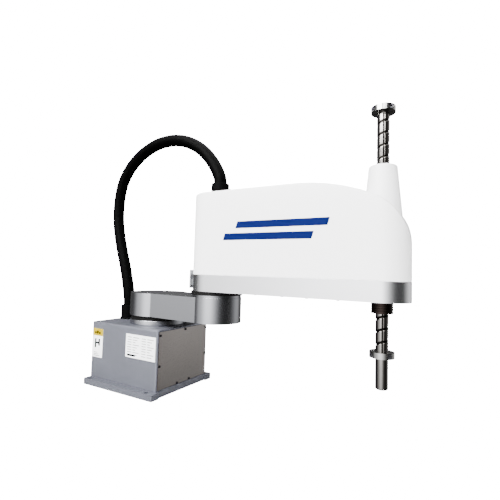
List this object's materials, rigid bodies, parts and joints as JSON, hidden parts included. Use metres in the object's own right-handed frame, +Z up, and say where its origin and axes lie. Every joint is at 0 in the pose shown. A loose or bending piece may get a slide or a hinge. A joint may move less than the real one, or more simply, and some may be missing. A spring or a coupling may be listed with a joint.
{
  "type": "scara robot arm",
  "caption": "Industrial SCARA arm: box base, swinging link, forearm under a white cover, and a ball-screw spline shaft that lifts and turns a tool; a flexible conduit joins base and forearm.",
  "frame": {"origin": "where the axis of the first joint meets the mounting plane under the base", "axes": "+Z up along the joint axes, +X forward from the base towards the shaft, +Y to the left"},
  "size_m": [0.7173, 0.198, 0.5777],
  "materials": {
    "base_casting": "silver-grey metallic paint",
    "front_plate": "silver-grey metallic paint",
    "dark_plate": "dark powder coat",
    "black_screw": "black oxide",
    "bright_screw": "zinc plated",
    "brass_screw": "satin",
    "black_plastic": "moulded black nylon",
    "connector_shell": "nickel plated",
    "coupling_blue": "moulded",
    "label_white": "satin film",
    "label_yellow": "satin film",
    "seal_black": "matt",
    "link_paint": "light silver metallic paint",
    "link_plate": "satin",
    "reducer_steel": "ground",
    "motor_black": "black paint",
    "cover_white": "satin white",
    "stripe_blue": "printed film",
    "conduit_black": "satin black sleeve",
    "belt_black": "matt",
    "pulley_metal": "anodised",
    "nut_steel": "ground",
    "nut_black": "black oxide",
    "shaft_steel": "ground and hardened",
    "collar_bright": "bright plated"
  },
  "bodies": {
    "base": {"base_housing": "base_casting", "base_front_cover": "front_plate", "base_front_screws": "black_screw", "base_rear_panel": "dark_plate", "rear_panel_screws": "bright_screw", "power_connector": "black_plastic", "signal_connector": "connector_shell", "air_couplings": "coupling_blue", "ground_screw": "brass_screw", "rating_label": "label_white", "caution_label": "label_yellow", "shoulder_ring": "link_paint", "j1_seal": "seal_black", "j1_motor": "motor_black", "j1_reducer": "reducer_steel", "conduit_base_fitting": "black_plastic", "conduit": "conduit_black"},
    "link1": {"link1_casting": "link_paint", "j1_output": "reducer_steel", "link1_bottom_cover": "link_plate", "link1_cover_screws": "bright_screw", "j2_output": "reducer_steel", "j2_seal": "seal_black"},
    "link2": {"link2_frame": "link_paint", "link2_cover": "cover_white", "cover_cone": "cover_white", "frame_screws": "black_screw", "rear_bracket": "link_plate", "conduit_arm_fitting": "black_plastic", "cover_stripe": "stripe_blue", "j2_motor": "motor_black", "j2_reducer": "reducer_steel", "z_motor": "motor_black", "r_motor": "motor_black", "motor_bracket": "link_plate", "z_belt": "belt_black", "r_belt": "belt_black", "spline_bearing": "reducer_steel", "screw_bearing": "link_plate", "cone_bushing": "black_plastic"},
    "z_motor_pulley": {"z_motor_pulley": "pulley_metal"},
    "r_motor_pulley": {"r_motor_pulley": "pulley_metal"},
    "spline_nut": {"spline_nut": "nut_steel", "r_pulley": "pulley_metal", "nut_collar": "nut_black"},
    "ball_nut": {"ball_nut": "nut_steel", "z_pulley": "pulley_metal"},
    "shaft": {"shaft": "shaft_steel", "top_collar": "collar_bright", "top_collar_screws": "black_screw", "lower_collar": "collar_bright", "lower_collar_screws": "black_screw"}
  },
  "joints": [
    {"name": "j1_shoulder", "type": "hinge", "parent": "base", "child": "link1", "pos_m": [0, 0, 0.15], "axis": [0, 0, 1], "range_deg": [-119.3, 130.7], "deforming": ["conduit"]},
    {"name": "j2_elbow", "type": "hinge", "parent": "link1", "child": "link2", "pos_m": [0.17414, -0.01738, 0.215], "axis": [0, 0, -1], "range_deg": [-144.3, 155.7]},
    {"name": "r_spin", "type": "hinge", "parent": "link2", "child": "spline_nut", "pos_m": [0.49913, -0.01738, 0.23], "axis": [0, 0, 1], "range_deg": [-360, 360]},
    {"name": "z_slide", "type": "slide", "parent": "spline_nut", "child": "shaft", "axis": [0, 0, 1], "range_m": [-0.09, 0.06]},
    {"name": "ball_nut_spin", "type": "hinge", "parent": "spline_nut", "child": "ball_nut", "pos_m": [0.49913, -0.01738, 0.262], "axis": [0, 0, 1], "range_deg": [-1081, 1621]},
    {"name": "z_motor_spin", "type": "hinge", "parent": "link2", "child": "z_motor_pulley", "pos_m": [0.40914, -0.01738, 0.262], "axis": [0, 0, 1], "range_deg": [-2161, 3241]},
    {"name": "r_motor_spin", "type": "hinge", "parent": "link2", "child": "r_motor_pulley", "pos_m": [0.30913, -0.01738, 0.236], "axis": [0, 0, 1], "range_deg": [-721, 721]}
  ],
  "couplings": [
    {"joint": "ball_nut_spin", "follows": "z_slide", "rad_per_m": -314.16},
    {"joint": "z_motor_spin", "follows": "z_slide", "rad_per_m": -628.32},
    {"joint": "r_motor_spin", "follows": "r_spin", "ratio": 2}
  ]
}
